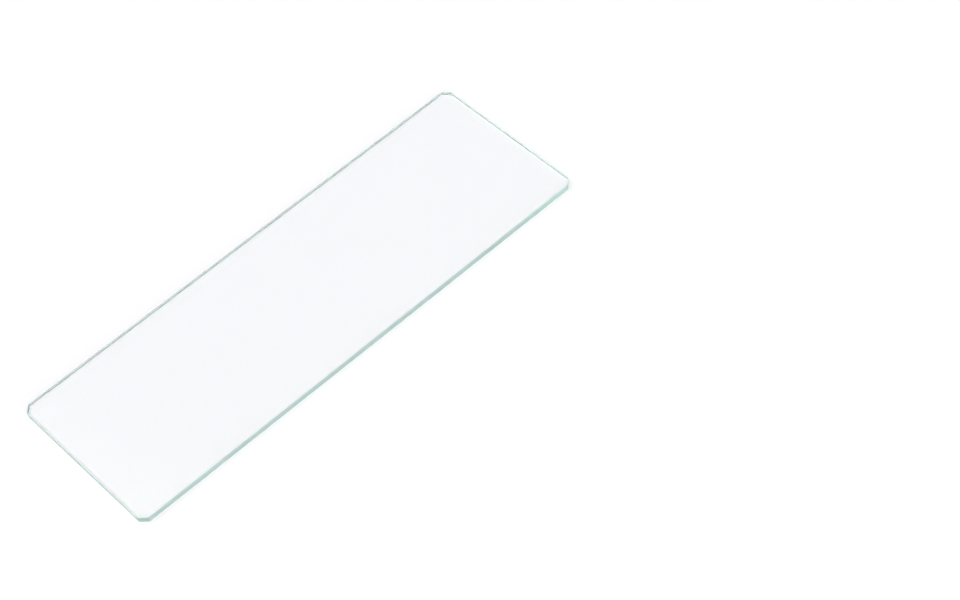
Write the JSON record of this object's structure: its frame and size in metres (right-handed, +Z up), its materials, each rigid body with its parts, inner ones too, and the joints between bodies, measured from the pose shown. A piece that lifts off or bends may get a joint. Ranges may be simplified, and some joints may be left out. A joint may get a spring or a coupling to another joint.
{
  "type": "microscope slide",
  "caption": "Plain clear glass microscope slide: a thin rectangular plate with clipped corners and ground, seamed edges, lying flat.",
  "frame": {"origin": "centre of the face the slide lies on", "axes": "+X along the slide's length, +Y across its width, +Z up through the glass"},
  "size_m": [0.076, 0.026, 0.001],
  "materials": {
    "clear_glass": "clear polished faces, fine-ground green-tinged edges"
  },
  "bodies": {
    "root": {"glass_slide": "clear_glass"}
  },
  "joints": []
}
